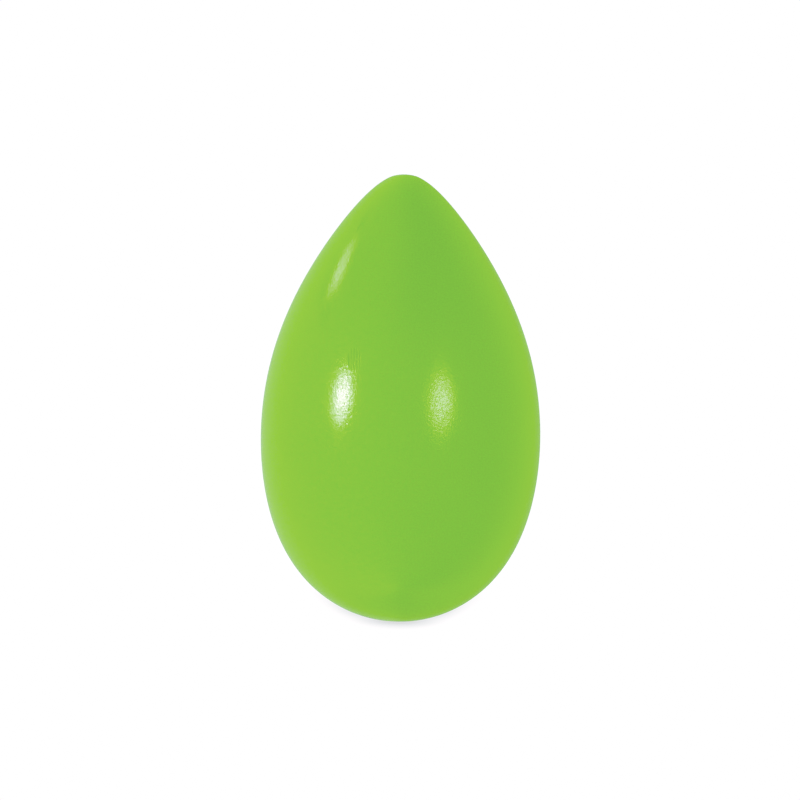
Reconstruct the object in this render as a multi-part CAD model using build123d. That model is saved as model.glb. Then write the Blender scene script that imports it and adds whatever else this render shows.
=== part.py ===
"""Egg shaker: a hollow two-piece plastic egg with loose steel shot sealed inside.

The egg stands on a small trimmed flat at its blunt end. The origin is the centre of that flat
and +Z runs up the egg's axis to the pointed tip. All sizes are in millimetres.
"""
from build123d import *
import math
import os

# Egg, outside
DIAMETER = 42.0          # across the widest section
HEIGHT = 67.0            # from the base flat to the tip flat
BASE_TRIM = 0.20         # depth of the blunt pole that the base flat takes away
TIP_TRIM = 0.10          # depth of the pointed pole that the tip flat takes away
EGG_SHAPE = {0: 1.0, 1: -0.204, 2: -0.091, 3: -0.172, 5: 0.064}  # power of x: coefficient

# Shell
WALL = 1.5
LIP = 0.70               # thickness of the lower shell's outer lip at the joint
TONGUE = 3.0             # depth that the upper shell's tongue reaches into the lower shell
TONGUE_SIDE_GAP = 0.05
TONGUE_END_GAP = 0.15
TONGUE_CHAMFER = 0.35
GATE_RECESS_DIAMETER = 1.8   # moulding gate, sunk so that it can't lift the base off a table
GATE_RECESS_DEPTH = 0.35
GATE_STUB_DIAMETER = 0.9
GATE_STUB_HEIGHT = 0.20

# Shot
SHOT_DIAMETER = 4.76     # 3/16 inch, a common size of steel ball
SHOT_GAP = 0.06          # between neighbouring balls, and so also between their upward paths
SEAT_GAP = 0.03          # between a ball and the shell at either end of its travel
SHOT_RINGS = 3           # hexagonal rings around the centre ball: 1 + 6 + 12 + 18 = 37 balls

# The egg curve
LENGTH = HEIGHT + BASE_TRIM + TIP_TRIM   # pole to pole, before the flats are cut
MID_HEIGHT = LENGTH / 2 - BASE_TRIM
PROFILE_STEPS = 36
SEARCH_STEPS = 4000


def shape_factor(x):
    """Egg polynomial, with x running from -1 at the blunt pole to 1 at the tip."""
    return sum(c * x**power for power, c in EGG_SHAPE.items())


def shape_slope(x):
    """Derivative of the egg polynomial."""
    return sum(c * power * x ** (power - 1) for power, c in EGG_SHAPE.items() if power)


def raw_radius(angle):
    """Radius of the egg curve before it is scaled to the diameter."""
    return math.sin(angle) * shape_factor(-math.cos(angle))


WIDEST_ANGLE = max((math.pi * i / SEARCH_STEPS for i in range(SEARCH_STEPS)), key=raw_radius)
RADIUS_SCALE = DIAMETER / 2 / raw_radius(WIDEST_ANGLE)


def egg_point(angle, inset=0.0):
    """(radius, height) on the egg curve moved inwards by inset; angle is 0 at the blunt pole."""
    x = -math.cos(angle)
    radius = RADIUS_SCALE * raw_radius(angle)
    height = MID_HEIGHT + LENGTH / 2 * x
    radius_rate = RADIUS_SCALE * (
        math.cos(angle) * shape_factor(x) + math.sin(angle) ** 2 * shape_slope(x)
    )
    height_rate = LENGTH / 2 * math.sin(angle)
    speed = math.hypot(radius_rate, height_rate)
    return radius - inset * height_rate / speed, height + inset * radius_rate / speed


SEAM_HEIGHT = egg_point(WIDEST_ANGLE)[1]     # the halves meet at the widest section
SEAM_RADIUS = DIAMETER / 2


def egg_section(inset):
    """Half section of the egg in the XZ plane, bounded by the egg curve and the axis."""
    bottom = Vector(0, 0, egg_point(0, inset)[1])
    top = Vector(0, 0, egg_point(math.pi, inset)[1])
    points = [bottom]
    for i in range(1, PROFILE_STEPS):
        radius, height = egg_point(math.pi * i / PROFILE_STEPS, inset)
        points.append(Vector(radius, 0, height))
    points.append(top)
    curve = Edge.make_spline(points, tangents=[Vector(1, 0, 0), Vector(-1, 0, 0)])
    return Face(Wire([curve, Edge.make_line(top, bottom)]))


def block(radius, height_low, height_high):
    """Rectangle in the XZ plane, from the axis out to a radius, between two heights."""
    corners = [
        (0, 0, height_low),
        (radius, 0, height_low),
        (radius, 0, height_high),
        (0, 0, height_high),
    ]
    return Face(Wire.make_polygon(corners, close=True))


def tongue_outline():
    """Region that the tongue may fill, with its outer corner chamfered as a lead-in."""
    outside = SEAM_RADIUS - LIP - TONGUE_SIDE_GAP
    end = SEAM_HEIGHT - TONGUE
    corners = [
        (0, 0, end),
        (outside - TONGUE_CHAMFER, 0, end),
        (outside, 0, end + TONGUE_CHAMFER),
        (outside, 0, SEAM_HEIGHT),
        (0, 0, SEAM_HEIGHT),
    ]
    return Face(Wire.make_polygon(corners, close=True))


def spin(section):
    """Solid of revolution of a half section about the egg's axis."""
    return Solid.revolve(section, 360, Axis.Z)


def wall_section():
    """Half section of the whole wall, between the two trimmed flats."""
    trimmed = egg_section(0) & block(DIAMETER, 0, HEIGHT)
    return (trimmed - egg_section(WALL)).face()


def lower_shell(wall):
    """Blunt half, with the base flat, the sunk moulding gate and the socket for the tongue."""
    half = wall & block(DIAMETER, 0, SEAM_HEIGHT)
    socket = block(SEAM_RADIUS - LIP, SEAM_HEIGHT - TONGUE - TONGUE_END_GAP, SEAM_HEIGHT)
    recess = block(GATE_RECESS_DIAMETER / 2, 0, GATE_RECESS_DEPTH)
    stub = block(GATE_STUB_DIAMETER / 2, GATE_RECESS_DEPTH - GATE_STUB_HEIGHT, GATE_RECESS_DEPTH)
    return spin((half - socket - recess + stub).face())


def upper_shell(wall):
    """Pointed half, with the tongue that locates it in the lower half."""
    half = wall & block(DIAMETER, SEAM_HEIGHT, HEIGHT)
    return spin((half + (wall & tongue_outline())).face())


def seat_heights(radius):
    """Lowest and highest centre of a ball that moves straight up the cavity at this radius."""
    inset = WALL + SHOT_DIAMETER / 2 + SEAT_GAP
    path = [egg_point(math.pi * i / SEARCH_STEPS, inset) for i in range(SEARCH_STEPS + 1)]
    inside = [height for path_radius, height in path if path_radius >= radius]
    return min(inside), max(inside)


def shot_columns():
    """(x, y) of every ball: a hexagonal patch of a triangular lattice, from the centre outwards."""
    pitch = SHOT_DIAMETER + SHOT_GAP
    columns = []
    for row in range(-SHOT_RINGS, SHOT_RINGS + 1):
        for step in range(-SHOT_RINGS, SHOT_RINGS + 1):
            ring = max(abs(row), abs(step), abs(row + step))
            if ring <= SHOT_RINGS:
                x = pitch * (step + row / 2)
                y = pitch * row * math.sqrt(3) / 2
                columns.append((ring, math.atan2(y, x), x, y))
    return [(x, y) for _, _, x, y in sorted(columns)]


def shot_ball(x, y):
    """One ball at rest on the floor of the cavity."""
    rest_height, _ = seat_heights(math.hypot(x, y))
    return Pos(x, y, rest_height) * Sphere(SHOT_DIAMETER / 2)


def main():
    os.makedirs("parts", exist_ok=True)
    wall = wall_section()
    export_step(lower_shell(wall), "parts/lower_shell.step")
    export_step(upper_shell(wall), "parts/upper_shell.step")
    for number, (x, y) in enumerate(shot_columns(), start=1):
        export_step(shot_ball(x, y), f"parts/shot_{number:02d}.step")


main()
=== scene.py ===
"""Looks of the egg shaker: two glossy lime-green shell halves and the steel shot inside them.

The CAD frame gives the egg's size, the height of its seam and the place and size of every ball.
The shells and the balls are built here as finer closed meshes with softened edges, and each one
stands for the CAD node of the same name. Lengths are in millimetres until a mesh or a material
takes them in metres.
"""
import math

import bmesh
import bpy
from mathutils import Matrix, Vector, noise


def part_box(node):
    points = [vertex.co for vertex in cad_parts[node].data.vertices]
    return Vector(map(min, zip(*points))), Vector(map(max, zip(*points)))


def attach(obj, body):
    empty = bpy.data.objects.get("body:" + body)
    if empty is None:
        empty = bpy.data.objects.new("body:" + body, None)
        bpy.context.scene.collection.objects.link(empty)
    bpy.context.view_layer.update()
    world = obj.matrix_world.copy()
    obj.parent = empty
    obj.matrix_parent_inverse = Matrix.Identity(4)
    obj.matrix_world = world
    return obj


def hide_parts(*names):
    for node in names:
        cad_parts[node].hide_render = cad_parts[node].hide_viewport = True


MM = 0.001
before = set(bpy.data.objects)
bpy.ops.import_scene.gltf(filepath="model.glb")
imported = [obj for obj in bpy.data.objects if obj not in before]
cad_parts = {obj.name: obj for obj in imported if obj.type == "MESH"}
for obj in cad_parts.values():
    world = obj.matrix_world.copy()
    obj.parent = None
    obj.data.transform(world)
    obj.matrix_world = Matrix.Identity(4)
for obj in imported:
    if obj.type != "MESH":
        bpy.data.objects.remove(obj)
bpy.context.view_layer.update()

# Sizes from the frame
LOWER_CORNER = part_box("lower_shell")[1] / MM
UPPER_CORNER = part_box("upper_shell")[1] / MM
SEAM_HEIGHT = LOWER_CORNER.z
HEIGHT = UPPER_CORNER.z
RADIUS = LOWER_CORNER.x

# The egg curve, as in the CAD part: a polynomial that swells the blunt end
EGG_SHAPE = {0: 1.0, 1: -0.204, 2: -0.091, 3: -0.172, 5: 0.064}  # power of x: coefficient
BASE_TRIM = 0.20
TIP_TRIM = 0.10
LENGTH = HEIGHT + BASE_TRIM + TIP_TRIM
MID_HEIGHT = LENGTH / 2 - BASE_TRIM
SEARCH_STEPS = 4000
BISECTIONS = 60

# Shell section, as in the CAD part
WALL = 1.5
LIP = 0.70
TONGUE = 3.0
TONGUE_SIDE_GAP = 0.05
TONGUE_END_GAP = 0.15
TONGUE_CHAMFER = 0.35
GATE_RECESS_RADIUS = 0.9
GATE_RECESS_DEPTH = 0.35
GATE_STUB_RADIUS = 0.45
GATE_STUB_HEIGHT = 0.20

# Softened edges: the length along each side that the rounding takes
BASE_EASE = 0.60         # where the base flat runs into the curve
TIP_EASE = 0.95          # where the tip flat runs into the curve
SEAM_EASE = 0.005        # hairline parting line between the halves
MOULD_EASE = 0.06        # corners of the gate, tongue and socket
EASE_STEPS = 6
CRISP = 0.03             # rings this close to a corner keep the shading crisp there

# Mesh density
RING_SEGMENTS = 288
PROFILE_STEP = 0.40      # spacing of the rings along the section
ARC_TO_CHORD = 1.15      # rough length of an arc against the straight line between its ends
FEWEST_STEPS = 4         # on an arc
BALL_CUTS = 14           # edge divisions on each face of the cube that a ball starts as

# Slight unevenness of a real moulding, always inwards
SHELL_WAVE = 0.006
SHELL_WAVE_SIZE = 9.0
BALL_DENT = 0.012
BALL_DENT_SIZE = 1.3
BALL_DENT_SHIFT = 3.0    # shifts the pattern by this many times the ball's place, so no two match


# ---------------------------------------------------------------- section curves

def shape_factor(x):
    """Egg polynomial, with x running from -1 at the blunt pole to 1 at the tip."""
    return sum(c * x**power for power, c in EGG_SHAPE.items())


def shape_slope(x):
    """Derivative of the egg polynomial."""
    return sum(c * power * x ** (power - 1) for power, c in EGG_SHAPE.items() if power)


def raw_radius(angle):
    """Radius of the egg curve before it is scaled to the frame's radius."""
    return math.sin(angle) * shape_factor(-math.cos(angle))


WIDEST_ANGLE = max((math.pi * i / SEARCH_STEPS for i in range(SEARCH_STEPS)), key=raw_radius)
RADIUS_SCALE = RADIUS / raw_radius(WIDEST_ANGLE)


def egg_point(angle, inset=0.0):
    """(radius, height) on the egg curve moved inwards by inset; angle is 0 at the blunt pole."""
    x = -math.cos(angle)
    radius = RADIUS_SCALE * raw_radius(angle)
    height = MID_HEIGHT + LENGTH / 2 * x
    radius_rate = RADIUS_SCALE * (
        math.cos(angle) * shape_factor(x) + math.sin(angle) ** 2 * shape_slope(x)
    )
    height_rate = LENGTH / 2 * math.sin(angle)
    speed = math.hypot(radius_rate, height_rate)
    return radius - inset * height_rate / speed, height + inset * radius_rate / speed


def angle_at(height, inset=0.0):
    """Angle of the curve point at this height, by bisection."""
    low, high = 0.0, math.pi
    for _ in range(BISECTIONS):
        middle = (low + high) / 2
        if egg_point(middle, inset)[1] < height:
            low = middle
        else:
            high = middle
    return low


def arc(start_angle, end_angle, inset=0.0):
    """Points along the egg curve, about PROFILE_STEP apart, with one more close to each end."""
    start = egg_point(start_angle, inset)
    end = egg_point(end_angle, inset)
    length = math.dist(start, end) * ARC_TO_CHORD
    count = max(FEWEST_STEPS, round(length / PROFILE_STEP))
    shares = sorted({CRISP / length, 1 - CRISP / length, *(i / count for i in range(count + 1))})
    turn = end_angle - start_angle
    return [egg_point(start_angle + turn * share, inset) for share in shares]


def cut_start(run, length):
    """The run without its first stretch of this length."""
    rest = list(run)
    left = length
    while len(rest) > 2 and math.dist(rest[0], rest[1]) <= left:
        left -= math.dist(rest[0], rest[1])
        rest.pop(0)
    share = left / math.dist(rest[0], rest[1])
    rest[0] = tuple(a + (b - a) * share for a, b in zip(rest[0], rest[1]))
    return rest


def eased_corner(before, corner, after):
    """Points of a quadratic curve that cuts the corner, without its two ends."""
    points = []
    for step in range(1, EASE_STEPS):
        t = step / EASE_STEPS
        weights = ((1 - t) ** 2, 2 * t * (1 - t), t**2)
        ends = (before, corner, after)
        points.append(tuple(sum(w * end[k] for w, end in zip(weights, ends)) for k in (0, 1)))
    return points


def rounded(runs, eases):
    """Joins runs end to end; eases[i] is what the corner after run i takes from each side."""
    trimmed = []
    for i, run in enumerate(runs):
        points = cut_start(run, eases[i - 1]) if i else list(run)
        if i < len(eases):
            points = cut_start(points[::-1], eases[i])[::-1]
        trimmed.append(points)
    section = list(trimmed[0])
    for i, run in enumerate(trimmed[1:]):
        section.extend(eased_corner(section[-1], runs[i + 1][0], run[0]))
        section.extend(run)
    return section


def line(start, end):
    """A straight run with a point close to each end, so that shading stays crisp at its corners."""
    length = math.dist(start, end)
    near = min(CRISP, length / 4)
    shares = sorted({0.0, near / length, 0.5, 1 - near / length, 1.0})
    return [tuple(a + (b - a) * s for a, b in zip(start, end)) for s in shares]


def lower_section():
    """Section of the blunt half, from the axis under the base round to the axis inside."""
    base_radius = egg_point(angle_at(0.0))[0]
    socket_floor = SEAM_HEIGHT - TONGUE - TONGUE_END_GAP
    socket_angle = angle_at(socket_floor, WALL)
    stub_low = GATE_RECESS_DEPTH - GATE_STUB_HEIGHT
    runs = [
        line((0, stub_low), (GATE_STUB_RADIUS, stub_low)),
        line((GATE_STUB_RADIUS, stub_low), (GATE_STUB_RADIUS, GATE_RECESS_DEPTH)),
        line((GATE_STUB_RADIUS, GATE_RECESS_DEPTH), (GATE_RECESS_RADIUS, GATE_RECESS_DEPTH)),
        line((GATE_RECESS_RADIUS, GATE_RECESS_DEPTH), (GATE_RECESS_RADIUS, 0)),
        line((GATE_RECESS_RADIUS, 0), (base_radius, 0)),
        arc(angle_at(0.0), WIDEST_ANGLE),
        line((RADIUS, SEAM_HEIGHT), (RADIUS - LIP, SEAM_HEIGHT)),
        line((RADIUS - LIP, SEAM_HEIGHT), (RADIUS - LIP, socket_floor)),
        line((RADIUS - LIP, socket_floor), egg_point(socket_angle, WALL)),
        arc(socket_angle, 0.0, WALL),
    ]
    gate = [MOULD_EASE] * 4
    return rounded(runs, gate + [BASE_EASE, SEAM_EASE] + [MOULD_EASE] * 3)


def upper_section():
    """Section of the pointed half, from the axis inside the tip, round to the axis on top."""
    tongue_low = SEAM_HEIGHT - TONGUE
    tongue_radius = RADIUS - LIP - TONGUE_SIDE_GAP
    chamfer_low = (tongue_radius - TONGUE_CHAMFER, tongue_low)
    chamfer_high = (tongue_radius, tongue_low + TONGUE_CHAMFER)
    inner_angle = angle_at(tongue_low, WALL)
    tip_angle = angle_at(HEIGHT)
    runs = [
        arc(math.pi, inner_angle, WALL),
        line(egg_point(inner_angle, WALL), chamfer_low),
        line(chamfer_low, chamfer_high),
        line(chamfer_high, (tongue_radius, SEAM_HEIGHT)),
        line((tongue_radius, SEAM_HEIGHT), (RADIUS, SEAM_HEIGHT)),
        arc(WIDEST_ANGLE, tip_angle),
        line(egg_point(tip_angle), (0, HEIGHT)),
    ]
    return rounded(runs, [MOULD_EASE] * 4 + [SEAM_EASE, TIP_EASE])


# ---------------------------------------------------------------- meshes

SQUARE = [(-1, -1), (1, -1), (1, 1), (-1, 1)]


def smooth_object(name, mesh):
    """A smooth-shaded object in the scene."""
    mesh.shade_smooth()
    obj = bpy.data.objects.new(name, mesh)
    bpy.context.scene.collection.objects.link(obj)
    return obj


def mesh_object(name, vertices, faces):
    """A smooth-shaded object from vertices in millimetres."""
    mesh = bpy.data.meshes.new(name)
    mesh.from_pydata([tuple(c * MM for c in v) for v in vertices], [], faces)
    return smooth_object(name, mesh)


def sunk(depth, point, size):
    """A smooth random depth between 0 and the full depth, with hollows of about this size."""
    return depth * (0.5 + 0.5 * noise.noise(point / size))


def lathe(name, section):
    """A closed solid of revolution of a section that starts and ends on the axis."""
    turns = [2 * math.pi * j / RING_SEGMENTS for j in range(RING_SEGMENTS)]
    vertices = [(0.0, 0.0, section[0][1])]
    for radius, height in section[1:-1]:
        for turn in turns:
            place = Vector((radius * math.cos(turn), radius * math.sin(turn), height))
            reach = radius - sunk(SHELL_WAVE, place, SHELL_WAVE_SIZE) * radius / RADIUS
            vertices.append((reach * math.cos(turn), reach * math.sin(turn), height))
    vertices.append((0.0, 0.0, section[-1][1]))
    last = len(vertices) - 1
    rings = len(section) - 2
    faces = []
    for j in range(RING_SEGMENTS):
        k = (j + 1) % RING_SEGMENTS
        faces.append((0, 1 + k, 1 + j))
        for i in range(rings - 1):
            low = 1 + i * RING_SEGMENTS
            high = low + RING_SEGMENTS
            faces.append((low + j, low + k, high + k, high + j))
        top = 1 + (rings - 1) * RING_SEGMENTS
        faces.append((top + j, top + k, last))
    return mesh_object(name, vertices, faces)


def shot_ball(name, node):
    """A tumbled steel ball: a cube swelled to a sphere, with shallow dents of its own."""
    low, high = (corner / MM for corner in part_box(node))
    centre = (low + high) / 2
    radius = (high.z - low.z) / 2
    ball = bmesh.new()
    bmesh.ops.create_cube(ball, size=2.0)
    bmesh.ops.subdivide_edges(ball, edges=ball.edges[:], cuts=BALL_CUTS - 1, use_grid_fill=True)
    for vertex in ball.verts:
        widened = Vector(math.tan(c * math.pi / 4) for c in vertex.co)
        direction = widened.normalized()
        place = direction * radius + centre * BALL_DENT_SHIFT
        dent = sunk(BALL_DENT, place, BALL_DENT_SIZE)
        vertex.co = (centre + direction * (radius - dent)) * MM
    mesh = bpy.data.meshes.new(name)
    ball.to_mesh(mesh)
    ball.free()
    return smooth_object(name, mesh)


# ---------------------------------------------------------------- node helpers

# Places of the number and colour sockets on a mix node
FIRST_NUMBER = 2
SECOND_NUMBER = 3
FIRST_COLOUR = 6
SECOND_COLOUR = 7
MIXED_COLOUR = 2
WHITE = (1.0, 1.0, 1.0)


def add(tree, kind, inputs=None, **settings):
    """Adds a node, sets its properties and fills or links its inputs."""
    made = tree.nodes.new(kind)
    for name, value in settings.items():
        setattr(made, name, value)
    for name, value in (inputs or {}).items():
        if isinstance(value, bpy.types.NodeSocket):
            tree.links.new(value, made.inputs[name])
        else:
            made.inputs[name].default_value = value
    return made


def maths(tree, operation, first, second=0.0):
    """Output of a maths node."""
    return add(tree, "ShaderNodeMath", {0: first, 1: second}, operation=operation).outputs[0]


def mix(tree, share, first, second):
    """Number between first at share 0 and second at share 1."""
    inputs = {0: share, FIRST_NUMBER: first, SECOND_NUMBER: second}
    return add(tree, "ShaderNodeMix", inputs).outputs[0]


def spread(tree, value, low, high, to_low, to_high, smooth=False):
    """Value mapped from one range to another, and held at its ends."""
    kind = "SMOOTHSTEP" if smooth else "LINEAR"
    inputs = {0: value, 1: low, 2: high, 3: to_low, 4: to_high}
    return add(tree, "ShaderNodeMapRange", inputs, interpolation_type=kind).outputs[0]


def new_material(name):
    """An empty node material and its output node."""
    material = bpy.data.materials.new(name)
    material.use_nodes = True
    tree = material.node_tree
    tree.nodes.clear()
    return material, tree, tree.nodes.new("ShaderNodeOutputMaterial")


def vectors(tree, operation, first, second=(0, 0, 0)):
    """Vector output of a vector maths node."""
    inputs = {0: first, 1: second}
    return add(tree, "ShaderNodeVectorMath", inputs, operation=operation).outputs[0]


def scaled(tree, vector, factor):
    """A vector times a number."""
    inputs = {0: vector, "Scale": factor}
    return add(tree, "ShaderNodeVectorMath", inputs, operation="SCALE").outputs[0]


def vector_length(tree, vector):
    """Length of a vector."""
    return add(tree, "ShaderNodeVectorMath", {0: vector}, operation="LENGTH").outputs["Value"]


def colours(tree, share, first, second, blend_type="MIX"):
    """Colour between first at share 0 and second at share 1; each is a colour or an output."""
    made = add(tree, "ShaderNodeMix", {0: share}, data_type="RGBA", blend_type=blend_type)
    for socket, value in ((FIRST_COLOUR, first), (SECOND_COLOUR, second)):
        if isinstance(value, bpy.types.NodeSocket):
            tree.links.new(value, made.inputs[socket])
        else:
            made.inputs[socket].default_value = (*value, 1)
    return made.outputs[MIXED_COLOUR]


def millimetres(tree):
    """Position on the object in millimetres."""
    return scaled(tree, add(tree, "ShaderNodeTexCoord").outputs["Object"], 1 / MM)


def grain(tree, place, scale, detail=2.0, roughness=0.5):
    """Noise with this many features per millimetre."""
    inputs = {"Vector": place, "Scale": scale, "Detail": detail, "Roughness": roughness}
    return add(tree, "ShaderNodeTexNoise", inputs).outputs["Fac"]


# ---------------------------------------------------------------- materials

NOISE_RANGE = (0.3, 0.7) # the values between which most of a noise lies

# Plastic: scales are features per millimetre, and heights and depths are in millimetres
LIME = (0.194, 0.510, 0.003)
LIME_DEEP = (0.185, 0.500, 0.003)
MOTTLE_SCALE = 0.09
SPECK_SCALE = 0.16
SPECK_RANGE = (0.018, 0.034)     # distance from a speck's middle where it fades into the colour
SPECK_SHADE = 0.80
SHELL_IOR = 1.48
SHELL_ROUGHNESS = 0.19
UNEVENNESS = 0.02        # roughness goes up and down by this much
UNEVENNESS_SCALE = 0.35
PEBBLE_SCALE = 3.7
PEBBLE_HEIGHT = 0.0155
PEEL_SCALE = 0.55        # orange peel
PEEL_HEIGHT = 0.006
SPARKLE_SCALE = 3.6      # glints and dull points
SPARKLE_RANGE = (0.38, 0.62)
SPARKLE_DULL = 0.34      # specular level at the dull points and at the glints; 0.5 is plain
SPARKLE_BRIGHT = 0.66

# Hairline scuffs in a few worn areas
SCUFF_STRETCH = (0.25, 0.25, 3.0)
SCUFF_TURN = (0.5, 0.9, 0.0)
SCUFF_SCALE = 0.6
SCUFF_RANGE = (0.66, 0.76)
WORN_SCALE = 0.12
WORN_RANGE = (0.55, 0.70)
WORN_ROUGHNESS = 0.06
WORN_DEPTH = 0.002

# A small patch of upright scratches on the front of the pointed half
SCRATCH_PLACE = (-6.9, -18.0, 40.2)
SCRATCH_REACH = 1.9
SCRATCH_NARROWING = (1.6, 1.0, 1.0)
SCRATCH_SOLID = 0.75     # share of the reach over which the scratches keep their full depth
SCRATCH_SPACING = 0.41
SCRATCH_DEPTH = 0.020

# Steel
STEEL = (0.62, 0.62, 0.62)
STEEL_DULL = (0.48, 0.47, 0.46)
STEEL_PATCH_SCALE = 0.9
STEEL_ROUGHNESS = (0.18, 0.36)
STEEL_SCRATCH_STRETCH = (1.0, 1.0, 9.0)
STEEL_SCRATCH_TURN = (0.4, 0.2, 0.0)
STEEL_SCRATCH_SCALE = 2.0
STEEL_SCRATCH_HEIGHT = 0.004
STEEL_SCRATCH_STRENGTH = 0.6


def stretched(tree, place, stretch, turn):
    """The place, stretched and turned so that noise on it comes out as streaks."""
    inputs = {"Vector": place, "Scale": stretch, "Rotation": turn}
    return add(tree, "ShaderNodeMapping", inputs).outputs[0]


def lime_colour(tree, place):
    """Two close limes in soft mottles, with a few small dark specks."""
    mottled = colours(tree, grain(tree, place, MOTTLE_SCALE, detail=3.0), LIME, LIME_DEEP)
    inputs = {"Vector": place, "Scale": SPECK_SCALE, "Randomness": 1.0}
    away = add(tree, "ShaderNodeTexVoronoi", inputs).outputs["Distance"]
    speck = spread(tree, away, *SPECK_RANGE, SPECK_SHADE, 1.0, smooth=True)
    return colours(tree, 1.0, mottled, speck, "MULTIPLY")


def wear(tree, place):
    """Share of wear: hairline scuffs that show only in a few areas."""
    along = stretched(tree, place, SCUFF_STRETCH, SCUFF_TURN)
    streaks = grain(tree, along, SCUFF_SCALE, detail=6.0, roughness=0.7)
    scuff = spread(tree, streaks, *SCUFF_RANGE, 0.0, 1.0)
    areas = grain(tree, place, WORN_SCALE, detail=1.0)
    patch = spread(tree, areas, *WORN_RANGE, 0.0, 1.0, smooth=True)
    return maths(tree, "MULTIPLY", scuff, patch)


def scratch_patch(tree, place):
    """Depth of a few upright scratches that fade out around SCRATCH_PLACE."""
    offset = vectors(tree, "SUBTRACT", place, SCRATCH_PLACE)
    away = vector_length(tree, vectors(tree, "MULTIPLY", offset, SCRATCH_NARROWING))
    mask = spread(tree, away, SCRATCH_SOLID * SCRATCH_REACH, SCRATCH_REACH, 1.0, 0.0, smooth=True)
    across = add(tree, "ShaderNodeSeparateXYZ", {0: offset}).outputs[0]
    wave = maths(tree, "SINE", maths(tree, "MULTIPLY", across, 2 * math.pi / SCRATCH_SPACING))
    return maths(tree, "MULTIPLY", maths(tree, "MULTIPLY", wave, SCRATCH_DEPTH), mask)


def shell_relief(tree, place, worn):
    """Normals of the moulding: fine pebble and orange peel, less the scuffs and scratches."""
    pebble = maths(tree, "MULTIPLY", grain(tree, place, PEBBLE_SCALE, detail=1.5), PEBBLE_HEIGHT)
    peel = maths(tree, "MULTIPLY", grain(tree, place, PEEL_SCALE, detail=1.0), PEEL_HEIGHT)
    height = maths(tree, "ADD", pebble, peel)
    height = maths(tree, "SUBTRACT", height, maths(tree, "MULTIPLY", worn, WORN_DEPTH))
    height = maths(tree, "SUBTRACT", height, scratch_patch(tree, place))
    inputs = {"Height": height, "Strength": 1.0, "Distance": MM}
    return add(tree, "ShaderNodeBump", inputs).outputs[0]


def shell_plastic():
    """Glossy coloured moulding with fine glints, mottling, specks and hairline scuffs."""
    material, tree, output = new_material("shell_plastic")
    place = millimetres(tree)
    worn = wear(tree, place)
    smoothest = SHELL_ROUGHNESS - UNEVENNESS
    roughest = SHELL_ROUGHNESS + UNEVENNESS
    blotches = grain(tree, place, UNEVENNESS_SCALE, detail=4.0)
    uneven = spread(tree, blotches, *NOISE_RANGE, smoothest, roughest)
    rough = maths(tree, "ADD", uneven, maths(tree, "MULTIPLY", worn, WORN_ROUGHNESS))
    glints = grain(tree, place, SPARKLE_SCALE, roughness=0.6)
    sparkle = spread(tree, glints, *SPARKLE_RANGE, SPARKLE_DULL, SPARKLE_BRIGHT)
    surface = add(tree, "ShaderNodeBsdfPrincipled", {
        "Base Color": lime_colour(tree, place),
        "Roughness": rough,
        "IOR": SHELL_IOR,
        "Specular IOR Level": sparkle,
        "Normal": shell_relief(tree, place, worn),
    })
    tree.links.new(surface.outputs[0], output.inputs["Surface"])
    return material


def steel_shot():
    """Tumbled bright steel with fine scratches and a little dullness in patches."""
    material, tree, output = new_material("steel_shot")
    place = millimetres(tree)
    patches = grain(tree, place, STEEL_PATCH_SCALE, detail=4.0)
    streaks = stretched(tree, place, STEEL_SCRATCH_STRETCH, STEEL_SCRATCH_TURN)
    scratch = grain(tree, streaks, STEEL_SCRATCH_SCALE, detail=6.0, roughness=0.7)
    inputs = {
        "Height": scratch,
        "Strength": STEEL_SCRATCH_STRENGTH,
        "Distance": STEEL_SCRATCH_HEIGHT * MM,
    }
    bump = add(tree, "ShaderNodeBump", inputs)
    surface = add(tree, "ShaderNodeBsdfPrincipled", {
        "Base Color": colours(tree, patches, STEEL, STEEL_DULL),
        "Metallic": 1.0,
        "Roughness": spread(tree, patches, *NOISE_RANGE, *STEEL_ROUGHNESS),
        "Normal": bump.outputs[0],
    })
    tree.links.new(surface.outputs[0], output.inputs["Surface"])
    return material


# ---------------------------------------------------------------- studio

WHITE_LEVEL = 1.4        # top of the print curves
PAPER = (1.03, 1.32, 0.88)       # backdrop and open floor, which print as white
SHADOW = (0.634, 0.684, 0.544)   # the deepest contact shadow, which prints as neutral grey
AMBIENT = 1.05           # even light on matt surfaces, from the studio above and the paper below
FLOOR_HALF = 4000.0

# Contact shadows as (where the light comes from, reach, openness of the paper at full shadow and
# where the shadow ends): one under the egg from the light above, one behind it. Both are held
# inside a parabola that opens away from the camera, as the lights stand in front of the egg.
SHADOWS = [
    ((0.0, 0.0, 1.0), 40.0, 0.25, 0.50),
    ((0.1, -0.7, 0.7), 90.0, 0.25, 0.78),
]
SHADOW_SAMPLES = 4
SHADOW_FRONT = 15.0      # how far in front of the contact point the parabola starts
SHADOW_SPREAD = 5.3      # square of its half width, per millimetre behind that start
SHADOW_FADE = 12.0       # distance behind the parabola over which the shadow comes in
SHADOW_POWER = 1.8       # bend of that coming in
SHADOW_SIDES = 0.55      # strength beside and behind the contact point, against 1 in front of it
SHADOW_SIDES_RANGE = (-5.0, 0.5)
SHADOW_TAIL = (20.0, 56.0)       # distance behind the contact point over which the shadow ends

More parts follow.
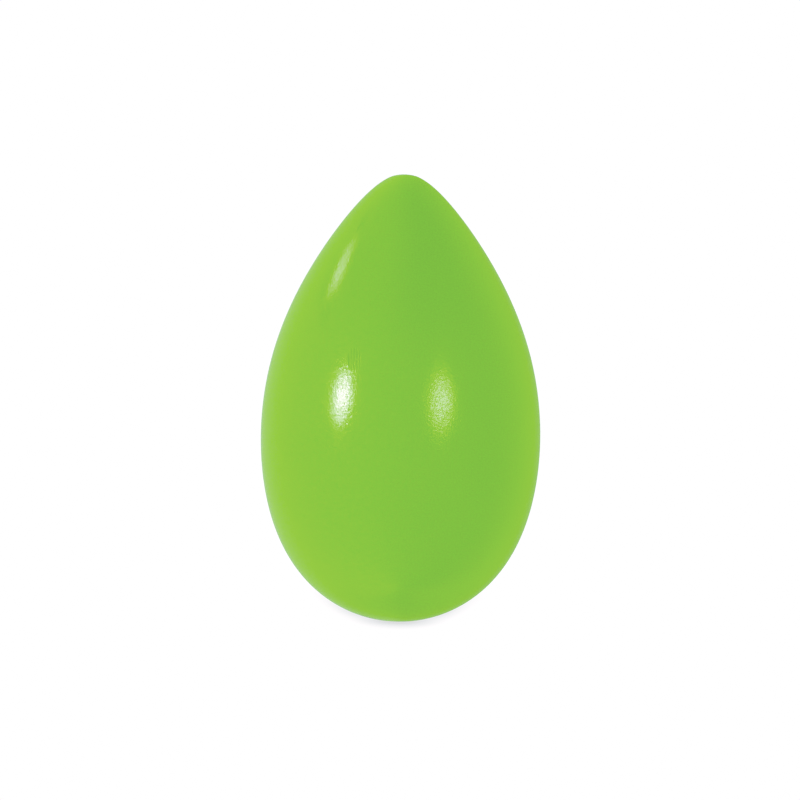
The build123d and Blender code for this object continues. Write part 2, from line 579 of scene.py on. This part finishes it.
# Brightness of the studio walls as the egg mirrors them, by compass angle seen from above:
# 0 is the camera's side, negative is the camera's left, 180 is behind the egg.
WALLS = [
    (-180, 0.60),
    (-150, 0.90),
    (-115, 1.62),
    (-75, 1.80),
    (-40, 1.60),
    (0, 1.00),
    (50, 0.65),
    (85, 0.42),
    (122, 1.05),
    (150, 0.60),
    (180, 0.50),
]
WALL_RANGE = 2.0
CEILING_RANGE = (0.30, 0.85)     # upward part of a direction where walls turn into ceiling
CEILING_LEFT = 1.15      # brightness overhead on the camera's left
CEILING_RIGHT = 0.30
CEILING_SIDES = (-0.5, 0.4)      # sideways part of a direction where left turns into right
CEILING_BACK = 0.30      # added overhead behind the egg
CEILING_BACK_RANGE = (-0.1, 0.35)
BACK_TINT = (0.82, 1.18, 0.75)   # the green that the egg throws on the paper behind it

# Softboxes, with all angles in degrees and the azimuth as in WALLS. Width and height are the
# panel's size, lean moves its top edge sideways and its bottom edge back the other way, and even
# is the share of its radius that glows at the full level.
SOFTBOXES = {
    "softbox_left": {
        "azimuth": -50.2,
        "elevation": 11.9,
        "width": 21,
        "height": 22,
        "level": 26.5,
        "even": 0.35,
        "lean": 1.3,
    },
    "softbox_right": {
        "azimuth": 33.6,
        "elevation": 11.5,
        "width": 26,
        "height": 25,
        "level": 9.3,
        "even": 0.45,
        "lean": 1.6,
    },
    "softbox_high": {
        "azimuth": -100.5,
        "elevation": 39.5,
        "width": 21,
        "height": 18,
        "level": 6.6,
        "even": 0.35,
        "lean": 0.0,
    },
}
SOFTBOX_DISTANCE = 700.0
RIM_RANGE = (0.36, 0.58) # cosine of the angle of incidence over which a panel's reflection comes in
RIM_GLOW = 0.03          # what is left of that reflection at the egg's rim

# Camera
LENS = 150               # focal length in millimetres
SENSOR_WIDTH = 36
SHOWN_WIDTH = 120.2      # millimetres across the picture at the egg
CAMERA_ELEVATION = 4.0
CAMERA_ROLL = 0.89       # the small lean of the egg in the picture
AIM_SIDEWAYS = -0.165
AIM_HEIGHT = HEIGHT / 2 - 0.33
NEAREST = 0.01           # metres
FURTHEST = 20.0

# Print curves as (scene brightness, printed brightness): highlights ease off towards white, and
# blue never falls to black.
RED_CURVE = [(0.0, 0.0), (1.0, 1.0), (WHITE_LEVEL, 1.0)]
GREEN_CURVE = [
    (0.0, 0.0),
    (0.56, 0.56),
    (0.645, 0.61),
    (0.775, 0.69),
    (0.855, 0.75),
    (1.025, 0.85),
    (1.15, 0.92),
    (1.30, 1.0),
    (WHITE_LEVEL, 1.0),
]
BLUE_CURVE = [
    (0.0, 0.054),
    (0.12, 0.055),
    (0.20, 0.14),
    (0.29, 0.28),
    (0.35, 0.375),
    (0.52, 0.596),
    (0.70, 0.84),
    (0.86, 1.0),
    (WHITE_LEVEL, 1.0),
]


def wall_ramp(tree, share):
    """Brightness of the walls; the share runs from 0 to 1 once round from behind the egg."""
    shade = add(tree, "ShaderNodeValToRGB", {0: share})
    ramp = shade.color_ramp
    ramp.interpolation = "B_SPLINE"
    while len(ramp.elements) < len(WALLS):
        ramp.elements.new(0.5)
    for element, (angle, level) in zip(ramp.elements, WALLS):
        element.position = angle / 360 + 0.5
        element.color = (level / WALL_RANGE,) * 3 + (1,)
    return maths(tree, "MULTIPLY", shade.outputs[0], WALL_RANGE)


def wall_light(tree, direction):
    """Brightness and tint of the studio in a direction."""
    axes = add(tree, "ShaderNodeSeparateXYZ", {0: direction}).outputs
    turn = maths(tree, "ARCTAN2", axes[0], maths(tree, "MULTIPLY", axes[1], -1.0))
    share = maths(tree, "ADD", maths(tree, "MULTIPLY", turn, 1 / (2 * math.pi)), 0.5)
    around = wall_ramp(tree, share)
    overhead = spread(tree, axes[0], *CEILING_SIDES, CEILING_LEFT, CEILING_RIGHT, smooth=True)
    beyond = spread(tree, axes[1], *CEILING_BACK_RANGE, 0.0, CEILING_BACK, smooth=True)
    height = spread(tree, axes[2], *CEILING_RANGE, 0.0, 1.0, smooth=True)
    level = mix(tree, height, around, maths(tree, "ADD", overhead, beyond))
    behind = spread(tree, axes[1], 0.0, 1.0, 0.0, 1.0, smooth=True)
    return level, colours(tree, behind, WHITE, BACK_TINT)


def studio_light(tree, direction, mirrored):
    """Even white light for matt surfaces, and the tinted walls for mirror reflections."""
    level, tint = wall_light(tree, direction)
    strength = mix(tree, mirrored, AMBIENT, level)
    return {"Color": colours(tree, mirrored, WHITE, tint), "Strength": strength}


def by_viewer(tree, output, camera_ray, unseen, seen):
    """Shows one shader to the camera and the other to everything else."""
    shaders = {0: camera_ray, 1: unseen.outputs[0], 2: seen.outputs[0]}
    both = add(tree, "ShaderNodeMixShader", shaders)
    tree.links.new(both.outputs[0], output.inputs["Surface"])


def set_world():
    """White to the camera, and the studio to everything else."""
    world = bpy.data.worlds.new("studio")
    world.use_nodes = True
    world.cycles.sampling_method = "NONE"
    tree = world.node_tree
    tree.nodes.clear()
    output = tree.nodes.new("ShaderNodeOutputWorld")
    direction = add(tree, "ShaderNodeTexCoord").outputs["Generated"]
    path = add(tree, "ShaderNodeLightPath").outputs
    light = studio_light(tree, direction, path["Is Glossy Ray"])
    unseen = add(tree, "ShaderNodeBackground", light)
    seen = add(tree, "ShaderNodeBackground", {"Color": (*PAPER, 1)})
    by_viewer(tree, output, path["Is Camera Ray"], unseen, seen)
    bpy.context.scene.world = world


def shadow_outline(tree, place):
    """Share of the shadow that the parabola, its front and its tail let through."""
    axes = add(tree, "ShaderNodeSeparateXYZ", {0: place}).outputs
    narrowing = maths(tree, "DIVIDE", maths(tree, "MULTIPLY", axes[0], axes[0]), SHADOW_SPREAD)
    inside = maths(tree, "SUBTRACT", maths(tree, "ADD", axes[1], SHADOW_FRONT), narrowing)
    edge = maths(tree, "POWER", spread(tree, inside, 0.0, SHADOW_FADE, 0.0, 1.0), SHADOW_POWER)
    sides = spread(tree, axes[1], *SHADOW_SIDES_RANGE, 1.0, SHADOW_SIDES)
    tail = spread(tree, axes[1], *SHADOW_TAIL, 1.0, 0.0, smooth=True)
    return maths(tree, "MULTIPLY", maths(tree, "MULTIPLY", edge, sides), tail)


def shadow_depth(tree):
    """Depth of the deeper contact shadow, from how open the paper is towards each light."""
    depth = 0.0
    for facing, reach, full, clear in SHADOWS:
        x, y, z = Vector(facing).normalized()
        lit_from = add(tree, "ShaderNodeCombineXYZ", {0: x, 1: y, 2: z}).outputs[0]
        inputs = {"Distance": reach * MM, "Normal": lit_from}
        openness = add(tree, "ShaderNodeAmbientOcclusion", inputs, samples=SHADOW_SAMPLES)
        shade = spread(tree, openness.outputs["AO"], full, clear, 1.0, 0.0)
        depth = maths(tree, "MAXIMUM", shade, depth)
    return maths(tree, "MULTIPLY", depth, shadow_outline(tree, millimetres(tree)))


def floor():
    """White paper with a contact shadow to the camera, and the studio to everything else."""
    corners = [(x * FLOOR_HALF, y * FLOOR_HALF, 0) for x, y in SQUARE]
    plane = mesh_object("floor", corners, [(0, 1, 2, 3)])
    material, tree, output = new_material("floor_paper")
    incoming = add(tree, "ShaderNodeNewGeometry").outputs["Incoming"]
    path = add(tree, "ShaderNodeLightPath").outputs
    light = studio_light(tree, scaled(tree, incoming, -1.0), path["Is Glossy Ray"])
    unseen = add(tree, "ShaderNodeEmission", light)
    paper = colours(tree, shadow_depth(tree), PAPER, SHADOW)
    seen = add(tree, "ShaderNodeEmission", {"Color": paper})
    by_viewer(tree, output, path["Is Camera Ray"], unseen, seen)
    plane.data.materials.append(material)


def direction_to(azimuth, elevation):
    """Unit vector towards a compass angle, as in WALLS, and a height angle."""
    a = math.radians(azimuth)
    e = math.radians(elevation)
    return Vector((math.sin(a) * math.cos(e), -math.cos(a) * math.cos(e), math.sin(e)))


def rim_fade(tree):
    """1 for mirror rays that left the egg steeply, falling to RIM_GLOW for those that skimmed its
    rim, where a full reflection would burn the outline away against the white paper. The egg
    counts as half an ellipsoid above its widest section.
    """
    geometry = add(tree, "ShaderNodeNewGeometry").outputs
    ray_length = add(tree, "ShaderNodeLightPath").outputs["Ray Length"]
    travelled = scaled(tree, geometry["Incoming"], ray_length)
    start = vectors(tree, "ADD", geometry["Position"], travelled)
    outward = vectors(tree, "SUBTRACT", start, (0.0, 0.0, SEAM_HEIGHT * MM))
    flattening = (1.0, 1.0, (RADIUS / (HEIGHT - SEAM_HEIGHT)) ** 2)
    normal = vectors(tree, "NORMALIZE", vectors(tree, "MULTIPLY", outward, flattening))
    inputs = {0: normal, 1: scaled(tree, geometry["Incoming"], -1.0)}
    cosine = add(tree, "ShaderNodeVectorMath", inputs, operation="DOT_PRODUCT").outputs["Value"]
    return spread(tree, cosine, *RIM_RANGE, RIM_GLOW, 1.0, smooth=True)


def panel_glow(name, level, even):
    """Light that is even in the panel's middle and fades to nothing at its edge."""
    material, tree, output = new_material(name + "_glow")
    reach = vector_length(tree, add(tree, "ShaderNodeTexCoord").outputs["UV"])
    glow = spread(tree, reach, even, 1.0, level, 0.0, smooth=True)
    inputs = {"Strength": maths(tree, "MULTIPLY", glow, rim_fade(tree))}
    light = add(tree, "ShaderNodeEmission", inputs)
    tree.links.new(light.outputs[0], output.inputs["Surface"])
    return material


def softbox(name, azimuth, elevation, width, height, level, even, lean):
    """A glowing panel that is seen only in mirror reflections."""
    aim = Vector((0, 0, HEIGHT / 2))
    toward = direction_to(azimuth, elevation)
    turn = toward.to_track_quat("Z", "Y").to_matrix()
    sizes = (math.radians(angle) for angle in (width / 2, height / 2, lean))
    half_x, half_y, shift = (SOFTBOX_DISTANCE * math.tan(angle) for angle in sizes)
    flat = [Vector((x * half_x + y * shift, y * half_y, 0)) for x, y in SQUARE]
    corners = [aim + toward * SOFTBOX_DISTANCE + turn @ corner for corner in flat]
    panel = mesh_object(name, corners, [(0, 1, 2, 3)])
    panel.data.uv_layers.new(name="panel")
    for loop, uv in zip(panel.data.uv_layers[0].data, SQUARE):
        loop.uv = uv
    panel.data.materials.append(panel_glow(name, level, even))
    panel.visible_camera = False
    panel.visible_diffuse = False
    panel.visible_shadow = False


def set_camera():
    """Long lens, slightly above the egg."""
    data = bpy.data.cameras.new("camera")
    data.lens = LENS
    data.sensor_width = SENSOR_WIDTH
    data.clip_start = NEAREST
    data.clip_end = FURTHEST
    camera = bpy.data.objects.new("camera", data)
    bpy.context.scene.collection.objects.link(camera)
    distance = SHOWN_WIDTH * LENS / SENSOR_WIDTH
    toward = direction_to(0, CAMERA_ELEVATION)
    place = Vector((AIM_SIDEWAYS, 0, AIM_HEIGHT)) + toward * distance
    roll = Matrix.Rotation(math.radians(CAMERA_ROLL), 3, "Z")
    turn = toward.to_track_quat("Z", "Y").to_matrix() @ roll
    camera.matrix_world = Matrix.LocRotScale(place * MM, turn.to_quaternion(), None)
    bpy.context.scene.camera = camera


def set_print():
    """Plain display transform with gentle print curves."""
    view = bpy.context.scene.view_settings
    view.view_transform = "Standard"
    view.look = "None"
    view.use_curve_mapping = True
    mapping = view.curve_mapping
    for curve, points in zip(mapping.curves, (RED_CURVE, GREEN_CURVE, BLUE_CURVE)):
        while len(curve.points) < len(points):
            curve.points.new(0.5, 0.5)
        for point, (scene_level, printed) in zip(curve.points, points):
            point.location = (scene_level / WHITE_LEVEL, printed)
            point.handle_type = "VECTOR"
    mapping.white_level = (WHITE_LEVEL,) * 3
    mapping.update()


# ---------------------------------------------------------------- assembly

def dress(obj, node, body, material):
    """Puts a material on a piece, lets it ride its body and stand for its CAD node."""
    obj.data.materials.append(material)
    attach(obj, body)
    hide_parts(node)


def build_shells():
    """Both halves, with one plastic."""
    plastic = shell_plastic()
    halves = (("lower_shell", lower_section()), ("upper_shell", upper_section()))
    for node, section in halves:
        dress(lathe(node + "_moulding", section), node, "shell", plastic)


def build_shot():
    """One ball for each shot node of the frame."""
    steel = steel_shot()
    for node in sorted(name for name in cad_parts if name.startswith("shot_")):
        dress(shot_ball(node + "_ball", node), node, node, steel)


build_shells()
build_shot()
floor()
set_world()
for name, settings in SOFTBOXES.items():
    softbox(name, **settings)
set_camera()
set_print()
